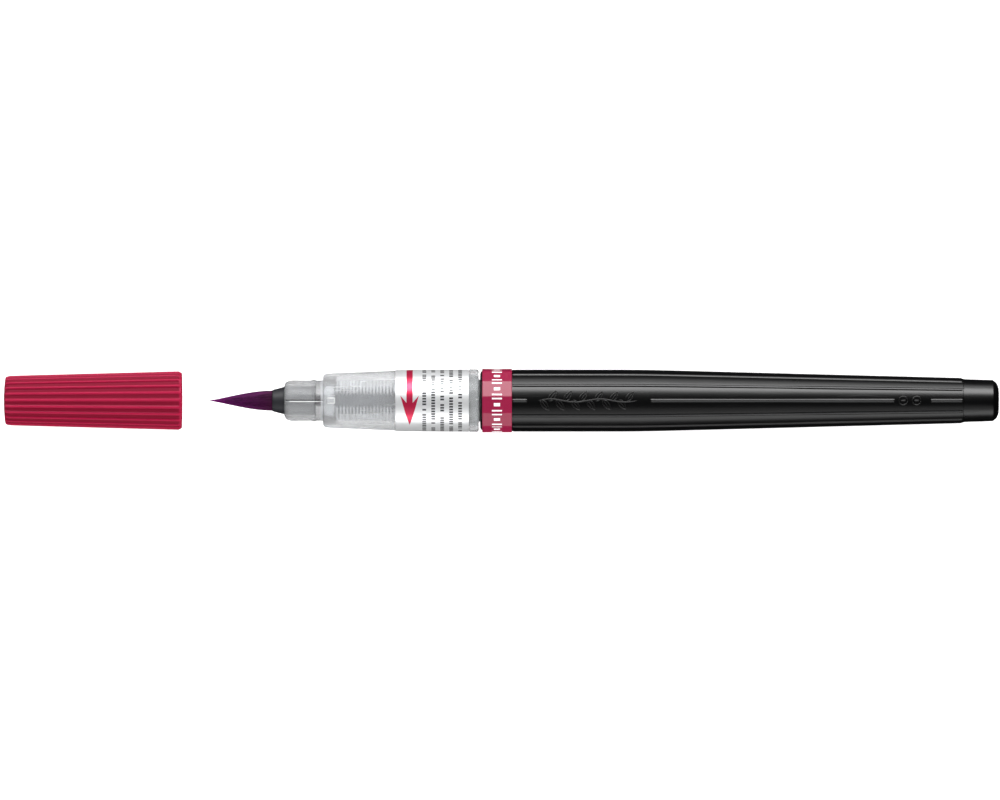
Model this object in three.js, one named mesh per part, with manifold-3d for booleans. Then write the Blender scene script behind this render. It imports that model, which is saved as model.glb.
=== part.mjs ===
// Brush pen with a pull-off cap, a clear grip section and a screw-on squeeze barrel.
// Millimetres, +Z up. The pen lies along X: brush tip towards -X, barrel towards +X, and the cap laid in line
// ahead of the tip. Every piece is drawn on the pen's axis by its station: 0 at the shoulder where the cap seats,
// growing towards the barrel's tail. The last lines stand the finished group on z = 0 and centre it on x = 0.
import * as THREE from "three";
import { mergeVertices } from "three/addons/utils/BufferGeometryUtils.js";
import Module from "manifold-3d";

const wasm = await Module();
wasm.setup();

// ---------------------------------------------------------------- driving dimensions
const fit = 0.1; // gap between pieces that fit together and stay together
const seatGap = 0.3; // gap between faces that stop against each other

const cap = {
  length: 35.6,
  mouthWall: 1.08, // over the rib crests, at the mouth
  taper: 0.94, // radius lost from the mouth to the closed end
  ribs: 24,
  fluteDepth: 0.3,
  rimLength: 0.8, // plain ring at the mouth, ahead of the ribs
  cornerRadius: 0.7,
  domeHeight: 0.55,
  endWall: 1.6,
  clearOfTip: 5.2, // from the cap's mouth to the tip of the brush when the cap is off
};
const liner = {
  wall: 0.4,
  recess: 0.8, // how far the liner's lip sits inside the mouth
  tipClearance: 0.25, // round the tip holder
  endClearance: 2.0, // past the tip of the brush
};
const tuft = { radius: 1.92, exposed: 12.9, fullness: 1.2, rootLength: 6.3 };
const tuftBase = { length: 0.9 };
const guide = { radius: 0.5, bore: 0.25, intoTuft: 5.5 };
const holder = { coneLength: 2.4, frontWall: 0.2, wall: 0.3, flare: 0.51 };
const sleeve = { wall: 0.48, endBevel: 0.6 };
const collar = {
  length: 7.75,
  noseLength: 1.2,
  noseFace: 0.1, // flat ring left at the front
  wall: 1.1,
  webThickness: 1.0,
  tailLength: 2.4,
  beadHeight: 0.15,
  beadWidth: 0.8,
  beadStation: -1.86,
  ventWidth: 0.25,
  ventDepth: 0.15,
};
const key = { length: 1.7, width: 1.4, height: 0.25 };
const wick = { radius: 0.9 };
const collector = {
  finRadius: 4.0,
  rootRadius: 2.7,
  fins: 18,
  finPitch: 0.67,
  finThickness: 0.32,
  noseWall: 0.6,
  tailRadius: 3.3,
  flangeRadius: 3.8,
  flangeThickness: 1.0,
  airSlotWidth: 3,
};
const grip = {
  length: 31.1,
  frontWall: 1.25, // behind the shoulder
  shoulderLength: 0.9,
  shoulderDrop: 0.6,
  coneRise: 0.58, // radius gained from the shoulder to the label
  seatRise: 0.12, // radius gained under the label
  rearRise: 0.15, // step up behind the label
  rearChamfer: 0.3,
  socketLength: 6.8, // rear socket that takes the connector
  socketWall: 1.1,
};
const label = { front: 14.45, length: 14.7, thickness: 0.09, gap: 0.04 };
const thread = {
  pitch: 2.0,
  height: 0.5,
  rootWidth: 0.75,
  crestWidth: 0.4,
  maleTurns: 2.0,
  femaleTurns: 2.0,
  clearance: 0.2,
  maleStart: 2.6, // from the joint face
};
const connector = {
  ledge: 0.85, // step from the plug down to the spigot
  spigotLength: 7.0,
  spigotWall: 0.8,
  webThickness: 2.0,
  tubeRadius: 1.5,
  tubeBore: 1.0,
  tubeReach: 5.2, // past the spigot's end
  grooveDepth: 0.2,
  grooveWidth: 1.0,
  grooveStation: 1.4, // groove centre, from the joint face
};
const barrel = {
  length: 103.7,
  mouthWall: 1.15, // between the ribs
  taper: 0.0259, // radius lost per millimetre behind the knee
  kneeFromFront: 32.3,
  kneeBlend: 2.0,
  wall: 1.0,
  mouthDepth: 9.0,
  shoulderLength: 0.8,
  shoulderDrop: 0.8,
};
const rib = { count: 12, width: 0.6, height: 0.14, sink: 0.3 };
const ribBreaks = [
  // stretches from the barrel's front where the top rib is left out for the relief marks
  [9.4, 34.0],
  [82.8, 90.0],
];
const tail = { length: 7.3, step: 0.1, draft: 0.17, cornerLength: 1.6, cornerDrop: 1.6, endWall: 2.0 };
const band = { sides: 12, thickness: 0.31, front: 0.4, length: 5.95, turn: THREE.MathUtils.degToRad(6.9) };
const stopper = { length: 2.2, boreClearance: 0.25 };
const ball = { overHole: 0.2, behindStopper: 2.6 };

const round = 36; // segments round the outer pieces
const smallRound = 24; // segments round the inner pieces

// ---------------------------------------------------------------- stations and sizes that follow from them
const collarFront = -collar.length;
const holderFront = collarFront - holder.coneLength;
const tipStation = holderFront - tuft.exposed;
const jointFace = grip.length; // rear face of the grip
const barrelFront = jointFace + seatGap;
const barrelEnd = barrelFront + barrel.length;
const ribEnd = barrelEnd - tail.length;
const kneeStations = [-1, 0, 1].map((k) => barrelFront + barrel.kneeFromFront + 2 * k * barrel.kneeBlend);
const capSeat = -seatGap; // the mouth's station when the cap is on
const capTravel = capSeat - (tipStation - cap.clearOfTip);

// radii, from the tuft outwards
const holderBore = tuft.radius + fit / 2;
const holderTailRadius = holderBore + holder.wall;
const holderBaseRadius = holderTailRadius + holder.flare;
const sleeveBore = holderTailRadius + fit;
const sleeveRadius = sleeveBore + sleeve.wall;
const collarBore = sleeveRadius + fit;
const collarRadius = collarBore + collar.wall;
const linerMouthRadius = collarRadius + collar.beadHeight + fit;
const linerTipRadius = holderBaseRadius + liner.tipClearance;
const capBore = linerMouthRadius + liner.wall + fit;
const capMouthRadius = capBore + cap.mouthWall;
const wickBore = wick.radius + fit;
const collectorSocket = collarRadius - collar.beadHeight - collector.noseWall;
const seatBore = collarRadius + fit;
const chamberBore = collector.finRadius + fit;
const gripFrontRadius = Math.max(seatBore, chamberBore) + grip.frontWall;
const seatFrontRadius = gripFrontRadius + grip.coneRise;
const seatRearRadius = seatFrontRadius + grip.seatRise;
const gripRearRadius = seatRearRadius + grip.rearRise;
const socketRadius = gripRearRadius - grip.socketWall;
const plugRadius = socketRadius - fit;
const flangeBore = collector.flangeRadius + fit;
const spigotRadius = plugRadius - connector.ledge;
const mouthRadius = spigotRadius + thread.height + thread.clearance;
const barrelFrontRadius = mouthRadius + barrel.mouthWall;
const cavityRadius = barrelFrontRadius - barrel.wall;
const stopperRadius = mouthRadius - thread.height - 2 * fit; // passes the barrel's thread
const stopperHole = connector.tubeRadius + stopper.boreClearance;
const ballRadius = stopperHole + ball.overHole;
const bandBore = barrelFrontRadius + fit / 2;
const bandCornerRadius = bandBore + band.thickness;

// stations
const tuftRoot = holderFront + tuft.rootLength;
const baseFront = tuftRoot + fit;
const sleeveEnd = baseFront + tuftBase.length + 2 * sleeve.endBevel;
const webFront = sleeveEnd + fit;
const webRear = webFront + collar.webThickness;
const finsFront = collar.tailLength + 3 * fit;
const finsRear = finsFront + collector.fins * collector.finPitch;
const labelRear = label.front + label.length;
const socketFront = jointFace - grip.socketLength;
const webStation = jointFace - connector.webThickness;
const spigotEnd = jointFace + connector.spigotLength;
const stopperStation = barrelFront + barrel.mouthDepth + fit;
const stopperEnd = stopperStation + stopper.length;

// ---------------------------------------------------------------- outlines as formulas
// Radius of the grip at a station: a cone from the shoulder to the label's seat, then the seat's gentle cone.
function gripRadius(s) {
  if (s < label.front) {
    return THREE.MathUtils.mapLinear(s, grip.shoulderLength, label.front, gripFrontRadius, seatFrontRadius);
  }
  return THREE.MathUtils.mapLinear(s, label.front, labelRear, seatFrontRadius, seatRearRadius);
}

// Radius of the barrel between its ribs: straight, then a cone, joined by a soft knee.
function barrelRadius(s, base = barrelFrontRadius) {
  const past = (s - barrelFront - barrel.kneeFromFront) / barrel.kneeBlend;
  return base - barrel.taper * barrel.kneeBlend * Math.log1p(Math.exp(past));
}

// Radius over the cap's rib crests at a distance from its mouth.
function capRadius(depth) {
  return capMouthRadius - (cap.taper * depth) / cap.length;
}

// Points on a quarter ellipse from one corner to the other. It leaves the first corner along the axis, or across it.
function quarter([s0, r0], [s1, r1], startsAlongAxis, steps = 4) {
  return Array.from({ length: steps + 1 }, (_, i) => {
    const a = (i / steps) * (Math.PI / 2);
    const along = startsAlongAxis ? Math.sin(a) : 1 - Math.cos(a);
    const across = startsAlongAxis ? 1 - Math.cos(a) : Math.sin(a);
    return [s0 + (s1 - s0) * along, r0 + (r1 - r0) * across];
  });
}

// ---------------------------------------------------------------- solid tools
// A solid of revolution about X from [station, radius] points: the outside runs towards +X and the bore runs back.
function turned(points, segments = round) {
  const outline = points.map(([s, r]) => new THREE.Vector2(r, s));
  if (points[0][1] > 0) outline.push(outline[0].clone());
  return new THREE.LatheGeometry(outline, segments).rotateZ(-Math.PI / 2);
}

// Moves each vertex in or out: change(station, radius, angle) gives its new radius; angle 0 is up.
function reshaped(geometry, change) {
  const place = geometry.getAttribute("position");
  for (let i = 0; i < place.count; i++) {
    const [x, y, z] = [place.getX(i), place.getY(i), place.getZ(i)];
    const [r, angle] = [Math.hypot(y, z), Math.atan2(y, z)];
    const moved = change(x, r, angle);
    if (r > 0) place.setXYZ(i, x, (y / r) * moved, (z / r) * moved);
  }
  return geometry;
}

function solid(geometry) {
  const bare = geometry.clone();
  bare.deleteAttribute("normal");
  bare.deleteAttribute("uv");
  const merged = mergeVertices(bare, 1e-4);
  const vertProperties = new Float32Array(merged.getAttribute("position").array);
  const triVerts = new Uint32Array(merged.index.array);
  return new wasm.Manifold(new wasm.Mesh({ numProp: 3, vertProperties, triVerts }));
}

function geometryOf(manifold) {
  const { numProp, numVert, vertProperties, triVerts } = manifold.getMesh();
  const place = new Float32Array(numVert * 3);
  for (let i = 0; i < numVert; i++) place.set(vertProperties.subarray(i * numProp, i * numProp + 3), i * 3);
  const geometry = new THREE.BufferGeometry();
  geometry.setAttribute("position", new THREE.BufferAttribute(place, 3));
  geometry.setIndex(new THREE.BufferAttribute(triVerts, 1));
  return geometry;
}

// A box from station a to b, centred across, standing between two heights above the axis.
function block(a, b, width, low, high) {
  return new THREE.BoxGeometry(b - a, width, high - low).translate((a + b) / 2, 0, (low + high) / 2);
}

// A left-hand thread ridge about X. It grows from rootRadius and stands out by reach, or inwards if reach is negative.
function threadRidge(start, turns, rootRadius, reach, steps = 16) {
  const count = Math.round(turns * steps);
  const sunk = rootRadius - Math.sign(reach) * 0.15;
  const section = [
    [-thread.rootWidth / 2, sunk],
    [-thread.crestWidth / 2, rootRadius + reach],
    [thread.crestWidth / 2, rootRadius + reach],
    [thread.rootWidth / 2, sunk],
  ];
  const place = [];
  for (let i = 0; i <= count; i++) {
    const angle = (-2 * Math.PI * i) / steps;
    const along = start + (thread.pitch * i) / steps;
    for (const [ds, r] of section) place.push(along + ds, r * Math.cos(angle), r * Math.sin(angle));
  }
  const faces = [0, 2, 1, 0, 3, 2];
  for (let i = 0; i < count; i++) {
    for (let k = 0; k < 4; k++) {
      const [a, b] = [4 * i + k, 4 * i + ((k + 1) % 4)];
      faces.push(a, b, a + 4, b, b + 4, a + 4);
    }
  }
  const last = 4 * count;
  faces.push(last, last + 1, last + 2, last, last + 2, last + 3);
  if (reach < 0) faces.reverse();
  const geometry = new THREE.BufferGeometry();
  geometry.setAttribute("position", new THREE.Float32BufferAttribute(place, 3));
  geometry.setIndex(faces);
  return geometry;
}

const finish = (color, roughness, metalness = 0) => new THREE.MeshStandardMaterial({ color, roughness, metalness });
const burgundyPlastic = finish("#a01a45", 0.35);
const frostedPlastic = finish("#c9cbcd", 0.4);
const clearPlastic = finish("#b4b8bb", 0.2);
const paleGreyPlastic = finish("#a9adb2", 0.5);
const whitePlastic = finish("#e4e4e2", 0.5);
const darkPlastic = finish("#38393d", 0.45);
const blackPlastic = finish("#0d0d0e", 0.2);
const nylon = finish("#4a1f49", 0.5);
const foil = finish("#eef0f0", 0.3, 0.3);
const fibre = finish("#6a2f4e", 0.9);
const rubber = finish("#26272a", 0.7);
const bandPlastic = finish("#a52a50", 0.4);

function piece(name, geometry, material) {
  const mesh = new THREE.Mesh(geometry, material);
  mesh.name = name;
  return mesh;
}

// ---------------------------------------------------------------- cap
// Drawn where it sits when it is on the pen: mouth at the shoulder, closed end towards -X.
function capShell() {
  const at = (depth) => capSeat - depth;
  const narrowBore = linerTipRadius + liner.wall + fit;
  const step = collar.length + 3 * fit + liner.wall;
  const corner = cap.length - cap.domeHeight;
  const outside = [
    [at(cap.length), 0],
    [at(corner + cap.domeHeight * 0.55), capRadius(cap.length) * 0.62],
    [at(corner), capRadius(corner) - cap.cornerRadius],
    [at(corner - cap.cornerRadius * 0.35), capRadius(corner) - cap.cornerRadius * 0.3],
    [at(corner - cap.cornerRadius), capRadius(corner - cap.cornerRadius)],
    [at(cap.length / 2), capRadius(cap.length / 2)],
    [at(cap.rimLength), capRadius(cap.rimLength)],
    [at(0.15), capMouthRadius - cap.fluteDepth],
    [at(0), capMouthRadius - cap.fluteDepth - 0.15],
    [at(0), 0],
  ];
  const hollow = [
    [at(cap.length - cap.endWall), 0],
    [at(cap.length - cap.endWall), narrowBore - 1],
    [at(cap.length - cap.endWall - 1), narrowBore],
    [at(step + liner.recess + 1), narrowBore],
    [at(step + liner.recess), capBore],
    [at(0.25), capBore],
    [at(-1), capBore + 1.25],
    [at(-1), 0],
  ];
  const fluted = (s, r, angle) => {
    const depth = capSeat - s;
    const ribbed = depth >= cap.rimLength - 1e-3 && r > capRadius(depth) - cap.cornerRadius - 1e-3;
    const trough = THREE.MathUtils.clamp(0.5 - Math.cos(angle * cap.ribs) / Math.SQRT2, 0, 1);
    return ribbed ? r - cap.fluteDepth * trough : r;
  };
  const segments = cap.ribs * 4;
  const body = reshaped(turned(outside, segments).rotateX(Math.PI / segments), fluted);
  return geometryOf(solid(body).subtract(solid(turned(hollow, smallRound))));
}

// Inner cup that seals on the clear collar and keeps the brush moist.
function capLiner() {
  const at = (depth) => capSeat - depth;
  const shoulder = collar.length + 3 * fit;
  const closed = capSeat - tipStation + liner.endClearance;
  return turned(
    [
      [at(closed + liner.wall), 0],
      [at(closed + liner.wall), linerTipRadius + liner.wall - 1],
      [at(closed - 1 + liner.wall), linerTipRadius + liner.wall],
      [at(shoulder + liner.recess + 1), linerTipRadius + liner.wall],
      [at(shoulder + liner.recess), linerMouthRadius + liner.wall],
      [at(liner.recess), linerMouthRadius + liner.wall],
      [at(liner.recess), linerMouthRadius + 0.15],
      [at(liner.recess + 0.4), linerMouthRadius],
      [at(shoulder), linerMouthRadius],
      [at(shoulder + 1), linerTipRadius],
      [at(closed - 1), linerTipRadius],
      [at(closed), linerTipRadius - 1],
      [at(closed), 0],
    ],
    smallRound,
  );
}

// ---------------------------------------------------------------- brush
// The tuft swells from its point as the sine of a power of the distance, then runs straight into the holder.
function bristleTuft() {
  const points = [];
  for (const share of [0, 0.06, 0.14, 0.25, 0.38, 0.52, 0.68, 0.84, 1]) {
    const swell = Math.sin((Math.PI / 2) * share ** tuft.fullness);
    points.push([tipStation + share * tuft.exposed, Math.max(tuft.radius * swell, 0)]);
  }
  const channel = guide.radius + fit;
  const channelFront = holderFront - guide.intoTuft + tuft.rootLength - fit;
  points.push([tuftRoot, tuft.radius], [tuftRoot, channel], [channelFront, channel], [channelFront, 0]);
  return turned(points, smallRound);
}

function tuftBaseDisc() {
  const radius = sleeveBore - fit;
  const hole = guide.radius + fit;
  return turned(
    [
      [baseFront, hole],
      [baseFront, radius],
      [baseFront + tuftBase.length, radius],
      [baseFront + tuftBase.length, hole],
    ],
    smallRound,
  );
}

function inkGuideTube() {
  const front = holderFront - guide.intoTuft + tuft.rootLength;
  const rear = baseFront + tuftBase.length + sleeve.endBevel / 2;
  return turned([[front, guide.bore], [front, guide.radius], [rear, guide.radius], [rear, guide.bore]], 16);
}

// Dark cone that grips the tuft, with a thin tail inside the sleeve.
function tipHolder() {
  return turned([
    [holderFront, holderBore],
    [holderFront, holderBore + holder.frontWall - 0.1],
    [holderFront + 0.15, holderBore + holder.frontWall],
    [collarFront, holderBaseRadius],
    [collarFront, holderTailRadius],
    [tuftRoot, holderTailRadius],
    [tuftRoot, holderBore],
  ], smallRound);
}

// Pale sleeve inside the collar that holds the tip holder's tail and the tuft's base.
function tipSleeve() {
  const front = collarFront + fit;
  return turned([
    [front, sleeveBore],
    [front, sleeveRadius],
    [sleeveEnd - sleeve.endBevel, sleeveRadius],
    [sleeveEnd, sleeveRadius - sleeve.wall / 2],
    [sleeveEnd, sleeveBore],
  ], smallRound);
}

// ---------------------------------------------------------------- clear nose collar
function noseCollar() {
  const noseRear = collarFront + collar.noseLength;
  const [bead, half] = [collar.beadStation, collar.beadWidth / 2];
  const body = solid(turned([
    [collarFront, collarBore],
    ...quarter([collarFront, collarBore + collar.noseFace], [noseRear, collarRadius], false),
    [bead - half, collarRadius],
    [bead - half / 3, collarRadius + collar.beadHeight],
    [bead + half / 3, collarRadius + collar.beadHeight],
    [bead + half, collarRadius],
    [collar.tailLength, collarRadius],
    [collar.tailLength, collectorSocket],
    [webRear, collectorSocket],
    [webRear, wickBore],
    [webFront, wickBore],
    [webFront, collarBore],
  ]));
  const keyTop = collarRadius + key.height;
  const tab = block(collar.tailLength - key.length, collar.tailLength, key.width, collarRadius - 0.2, keyTop);
  const grooveFloor = collarRadius - collar.ventDepth;
  const groove = block(collarFront - 1, -seatGap, collar.ventWidth, grooveFloor, collarRadius + 1);
  return geometryOf(body.add(solid(tab)).subtract(solid(groove)));
}

// ---------------------------------------------------------------- ink feed
function feedWick() {
  const front = baseFront + tuftBase.length + sleeve.endBevel;
  return turned([[front, 0], [front, wick.radius], [webStation - fit, wick.radius], [webStation - fit, 0]], 16);
}

// Comb that buffers ink between its fins, with an air slot along the top.
function inkCollector() {
  const flangeRear = webStation - fit;
  const noseFront = webRear + fit;
  const outside = [
    [noseFront, collectorSocket - fit],
    [collar.tailLength, collectorSocket - fit],
    [collar.tailLength + fit, collector.rootRadius],
  ];
  for (let i = 0; i < collector.fins; i++) {
    const front = finsFront + i * collector.finPitch;
    const rear = front + collector.finThickness;
    outside.push([front, collector.rootRadius], [front, collector.finRadius]);
    outside.push([rear, collector.finRadius], [rear, collector.rootRadius]);
  }
  outside.push([finsRear, collector.rootRadius], [finsRear + fit, collector.tailRadius]);
  const flangeFront = flangeRear - collector.flangeThickness;
  outside.push([flangeFront, collector.tailRadius], [flangeFront, collector.flangeRadius]);
  outside.push([flangeRear, collector.flangeRadius]);
  const body = solid(turned([[noseFront, wickBore], ...outside, [flangeRear, wickBore]], 16));
  const [floor, top] = [collector.rootRadius - 0.2, collector.finRadius + 1];
  const slot = block(finsFront - fit, finsRear + fit, collector.airSlotWidth, floor, top);
  return geometryOf(body.subtract(solid(slot)));
}

// ---------------------------------------------------------------- grip
function gripSleeve() {
  const step = labelRear + fit;
  const body = solid(turned([
    [0, seatBore],
    ...quarter([0, gripFrontRadius - grip.shoulderDrop], [grip.shoulderLength, gripFrontRadius], false),
    [label.front, seatFrontRadius],
    [step, gripRadius(step)],
    [step, gripRearRadius],
    [jointFace - grip.rearChamfer, gripRearRadius],
    [jointFace, gripRearRadius - grip.rearChamfer],
    [jointFace, socketRadius],
    [socketFront, socketRadius],
    [socketFront - 0.6, chamberBore],
    [collar.tailLength + fit, chamberBore],
    [collar.tailLength + fit, seatBore],
  ]));
  const keyFront = collar.tailLength - key.length - fit;
  const keyTop = collarRadius + key.height + fit;
  const keyway = block(keyFront, collar.tailLength + fit, key.width + 2 * fit, seatBore - 0.3, keyTop);
  return geometryOf(body.subtract(solid(keyway)));
}

function gripLabel() {
  const inner = (s) => gripRadius(s) + label.gap;
  const outer = (s) => inner(s) + label.thickness;
  const [front, rear] = [label.front, labelRear];
  return turned([[front, inner(front)], [front, outer(front)], [rear, outer(rear)], [rear, inner(rear)]]);
}

// ---------------------------------------------------------------- screw joint
// Pressed into the grip: a cup for the collector's flange, a left-hand spigot and the tube that opens the barrel.
function threadedConnector() {
  const grooveFront = jointFace + connector.grooveStation - connector.grooveWidth / 2;
  const grooveRear = grooveFront + connector.grooveWidth;
  const grooveFloor = spigotRadius - connector.grooveDepth;
  const tubeEnd = spigotEnd + connector.tubeReach;
  const hollow = spigotRadius - connector.spigotWall;
  const body = turned([
    [socketFront + fit, flangeBore],
    [socketFront + fit, plugRadius],
    [jointFace - fit, plugRadius],
    [jointFace - fit, spigotRadius],
    [grooveFront, spigotRadius],
    [grooveFront, grooveFloor],
    [grooveRear, grooveFloor],
    [grooveRear, spigotRadius],
    [spigotEnd, spigotRadius],
    [spigotEnd, hollow],
    [jointFace, hollow],
    [jointFace, connector.tubeRadius],
    [tubeEnd - 0.6, connector.tubeRadius],
    [tubeEnd, connector.tubeRadius - 0.3],
    [tubeEnd, connector.tubeBore],
    [webStation, connector.tubeBore],
    [webStation, flangeBore],
  ], smallRound);
  const ridge = threadRidge(jointFace + thread.maleStart, thread.maleTurns, spigotRadius, thread.height);
  return geometryOf(solid(body).add(solid(ridge)));
}

// Seal between the spigot and the barrel's mouth, in the spigot's groove.
function connectorSealRing() {
  const floor = spigotRadius - connector.grooveDepth + fit / 2;
  const section = (mouthRadius - fit - floor) / 2;
  const ring = new THREE.TorusGeometry(floor + section, section, 8, smallRound);
  return ring.rotateY(Math.PI / 2).translate(jointFace + connector.grooveStation, 0, 0);
}

// ---------------------------------------------------------------- barrel
function barrelRib(turn, from, to) {
  const along = [from, ...kneeStations.filter((s) => s > from && s < to), to];
  const crest = along.map((s) => new THREE.Vector2(s, barrelRadius(s) + rib.height));
  const root = [...along].reverse().map((s) => new THREE.Vector2(s, barrelRadius(s) - rib.sink));
  const outline = new THREE.Shape([...crest, ...root]);
  const strip = new THREE.ExtrudeGeometry(outline, { depth: rib.width, bevelEnabled: false, steps: 1 });
  return strip.translate(0, 0, -rib.width / 2).rotateX(Math.PI / 2 + turn);
}

function barrelShell() {
  const wallEnd = barrelEnd - tail.endWall;
  const tailFrontRadius = barrelRadius(ribEnd) - tail.step;
  const tailRearRadius = tailFrontRadius - tail.draft;
  const cornerFront = barrelEnd - tail.cornerLength;
  const shoulder = quarter(
    [barrelFront, barrelFrontRadius - barrel.shoulderDrop],
    [barrelFront + barrel.shoulderLength, barrelFrontRadius],
    false,
  );
  const bore = (s) => barrelRadius(s, cavityRadius);
  const body = turned([
    ...shoulder,
    ...kneeStations.map((s) => [s, barrelRadius(s)]),
    [ribEnd, barrelRadius(ribEnd)],
    [ribEnd + 0.5, tailFrontRadius],
    ...quarter([cornerFront, tailRearRadius], [barrelEnd, tailRearRadius - tail.cornerDrop], true),
    [barrelEnd, 0],
    [wallEnd, 0],
    [wallEnd, bore(wallEnd) - 1],
    [wallEnd - 1, bore(wallEnd)],
    ...[...kneeStations].reverse().map((s) => [s, bore(s)]),
    [stopperEnd + 0.5, cavityRadius],
    [stopperEnd, stopperRadius + fit],
    [barrelFront + barrel.mouthDepth, stopperRadius + fit],
    [barrelFront + barrel.mouthDepth, mouthRadius],
    [barrelFront, mouthRadius],
  ]);
  let shell = solid(body);
  const ribFront = barrelFront + band.front + band.length + fit;
  for (let i = 0; i < rib.count; i++) {
    const turn = (2 * Math.PI * i) / rib.count;
    const breaks = i === 0 ? ribBreaks.flat().map((s) => s + barrelFront) : [];
    const edges = [ribFront, ...breaks, ribEnd];
    for (let k = 0; k < edges.length; k += 2) shell = shell.add(solid(barrelRib(turn, edges[k], edges[k + 1])));
  }
  const femaleStart = jointFace + thread.maleStart + thread.pitch / 2;
  const ridge = threadRidge(femaleStart, thread.femaleTurns, mouthRadius, -thread.height);
  return geometryOf(shell.add(solid(ridge)));
}

// Twelve-sided colour band on the barrel's plain front.
function colourBand() {
  const front = barrelFront + band.front;
  const outside = new THREE.CylinderGeometry(bandCornerRadius, bandCornerRadius, band.length, band.sides);
  const bore = new THREE.CylinderGeometry(bandBore, bandBore, band.length + 2, round);
  for (const tube of [outside, bore]) tube.rotateZ(-Math.PI / 2).translate(front + band.length / 2, 0, 0);
  return geometryOf(solid(outside.rotateX(-band.turn)).subtract(solid(bore)));
}

// Ring fixed in the barrel that the ball closed until the connector's tube pushed it out.
function mouthStopper() {
  return turned([
    [stopperStation, stopperHole],
    [stopperStation, stopperRadius],
    [stopperEnd, stopperRadius],
    [stopperEnd, stopperHole + 0.4],
    [stopperEnd - 0.5, stopperHole],
  ], smallRound);
}

function sealBall() {
  const drop = cavityRadius - ballRadius - fit;
  const station = stopperEnd + ball.behindStopper + ballRadius;
  return new THREE.SphereGeometry(ballRadius, 16, 10).translate(station, 0, -drop);
}

// ---------------------------------------------------------------- assembly
const capGroup = new THREE.Group();
capGroup.add(piece("cap_shell", capShell(), burgundyPlastic));
capGroup.add(piece("cap_liner", capLiner(), whitePlastic));
capGroup.position.x = -capTravel;

const gripGroup = new THREE.Group();
gripGroup.add(piece("bristle_tuft", bristleTuft(), nylon));
gripGroup.add(piece("tuft_base", tuftBaseDisc(), nylon));
gripGroup.add(piece("ink_guide_tube", inkGuideTube(), clearPlastic));
gripGroup.add(piece("tip_holder", tipHolder(), darkPlastic));
gripGroup.add(piece("tip_sleeve", tipSleeve(), paleGreyPlastic));
gripGroup.add(piece("nose_collar", noseCollar(), clearPlastic));
gripGroup.add(piece("feed_wick", feedWick(), fibre));
gripGroup.add(piece("ink_collector", inkCollector(), paleGreyPlastic));
gripGroup.add(piece("grip_sleeve", gripSleeve(), frostedPlastic));
gripGroup.add(piece("grip_label", gripLabel(), foil));
gripGroup.add(piece("threaded_connector", threadedConnector(), frostedPlastic));
gripGroup.add(piece("connector_seal_ring", connectorSealRing(), rubber));

const barrelGroup = new THREE.Group();
barrelGroup.add(piece("barrel_shell", barrelShell(), blackPlastic));
barrelGroup.add(piece("colour_band", colourBand(), bandPlastic));
barrelGroup.add(piece("mouth_stopper", mouthStopper(), whitePlastic));
barrelGroup.add(piece("seal_ball", sealBall(), whitePlastic));

const pen = new THREE.Group();
pen.add(capGroup, gripGroup, barrelGroup);
const extent = new THREE.Box3().setFromObject(pen, true);
pen.position.set(-(extent.min.x + extent.max.x) / 2, 0, -extent.min.z);

export default pen;
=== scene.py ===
import bpy
import numpy as np
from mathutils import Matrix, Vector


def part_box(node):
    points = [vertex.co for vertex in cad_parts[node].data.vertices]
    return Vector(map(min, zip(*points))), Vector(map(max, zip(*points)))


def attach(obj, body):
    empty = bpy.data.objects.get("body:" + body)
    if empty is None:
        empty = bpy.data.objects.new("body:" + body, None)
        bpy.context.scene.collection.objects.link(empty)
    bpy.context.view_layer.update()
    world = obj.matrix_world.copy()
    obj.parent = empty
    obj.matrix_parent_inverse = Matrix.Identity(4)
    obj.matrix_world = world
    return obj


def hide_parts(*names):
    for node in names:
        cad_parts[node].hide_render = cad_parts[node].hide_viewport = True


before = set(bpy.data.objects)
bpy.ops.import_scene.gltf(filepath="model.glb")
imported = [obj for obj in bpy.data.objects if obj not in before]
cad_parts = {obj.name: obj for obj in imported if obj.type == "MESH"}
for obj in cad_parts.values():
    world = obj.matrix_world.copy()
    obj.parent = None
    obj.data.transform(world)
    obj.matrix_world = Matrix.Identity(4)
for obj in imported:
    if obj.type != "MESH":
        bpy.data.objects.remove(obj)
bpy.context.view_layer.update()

# Every size below is in millimetres. A station is a distance along the pen from the grip's front shoulder,
# growing towards the barrel's tail; an angle is in radians round the pen, 0 at the top, growing towards +Y.
MM = 0.001
SHOULDER_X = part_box("grip_sleeve")[0].x
AXIS_Z = (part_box("barrel_shell")[0].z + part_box("barrel_shell")[1].z) / 2
TURN = 2 * np.pi


def span(node):
    """First and last station of a CAD node."""
    low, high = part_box(node)
    return (low.x - SHOULDER_X) / MM, (high.x - SHOULDER_X) / MM


CAP_END, CAP_MOUTH = span("cap_shell")
TIP = span("bristle_tuft")[0]
HOLDER_FRONT = span("tip_holder")[0]
COLLAR_FRONT, COLLAR_REAR = span("nose_collar")
GRIP_REAR = span("grip_sleeve")[1]
LABEL_FRONT, LABEL_REAR = span("grip_label")
BARREL_FRONT, BARREL_END = span("barrel_shell")
BAND_FRONT, BAND_REAR = span("colour_band")

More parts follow.
